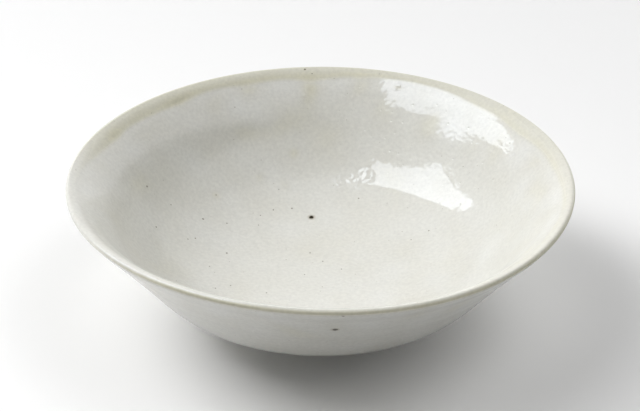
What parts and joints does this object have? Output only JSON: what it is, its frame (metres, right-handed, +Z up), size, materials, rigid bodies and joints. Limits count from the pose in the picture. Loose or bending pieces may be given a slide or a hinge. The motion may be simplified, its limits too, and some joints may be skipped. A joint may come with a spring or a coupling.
{
  "type": "stoneware bowl",
  "caption": "Wide, shallow stoneware bowl with a straight flaring wall and a round lip, on a foot ring, coated in glossy off-white glaze with a thin buff edge.",
  "frame": {"origin": "middle of the foot's standing edge, on the table", "axes": "+Z up along the bowl's axis; +X and +Y level, with the picture taken from the -Y side"},
  "size_m": [0.2099, 0.2099, 0.062],
  "materials": {
    "stoneware_clay": "fired buff stoneware, bare and fine grained, matt",
    "white_glaze": "glossy off-white glaze with faint dimples and a few iron specks",
    "thin_glaze": "glossy glaze run thin over the lip, with the buff clay showing through"
  },
  "bodies": {
    "root": {"clay_wall": "stoneware_clay", "foot_ring": "stoneware_clay", "outer_glaze": "white_glaze", "inner_glaze": "white_glaze", "lip_glaze": "thin_glaze", "recess_glaze": "white_glaze"}
  },
  "joints": []
}
